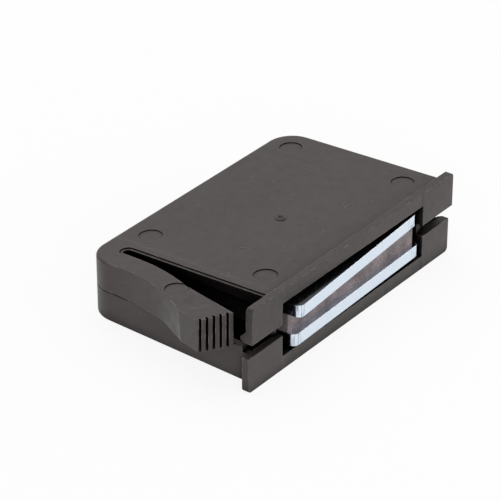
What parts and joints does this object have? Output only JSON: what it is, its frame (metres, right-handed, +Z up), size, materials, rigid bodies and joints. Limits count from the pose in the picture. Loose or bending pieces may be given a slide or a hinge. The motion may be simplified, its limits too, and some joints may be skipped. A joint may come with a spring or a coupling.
{
  "type": "push to open catch",
  "caption": "Snap-in magnetic push to open catch for a door or drawer: a flat two-shell housing with flexing side arms and a sliding magnet with steel pole plates.",
  "frame": {"origin": "middle of the magnetic face, on the plane of the flange's front face", "axes": "+X along the flange, +Y from the flange's front to the rear of the housing, +Z up through the upper shell"},
  "size_m": [0.0598, 0.032, 0.0132],
  "materials": {
    "upper_shell": "satin moulded",
    "lower_shell": "satin moulded",
    "carriage": "satin moulded",
    "pole_plate": "zinc plated",
    "magnet": "ground ferrite",
    "spring": "drawn wire"
  },
  "bodies": {
    "housing": {"upper_shell": "upper_shell", "lower_shell": "lower_shell", "spring_left": "spring", "spring_right": "spring", "wire_follower": "spring"},
    "slider": {"carriage": "carriage", "upper_pole_plate": "pole_plate", "lower_pole_plate": "pole_plate", "magnet": "magnet"}
  },
  "joints": [
    {"name": "carriage_slide", "type": "slide", "parent": "housing", "child": "slider", "axis": [0, -1, 0], "range_m": [-0.0012, 0.005], "deforming": ["spring_left", "spring_right", "wire_follower"]}
  ]
}
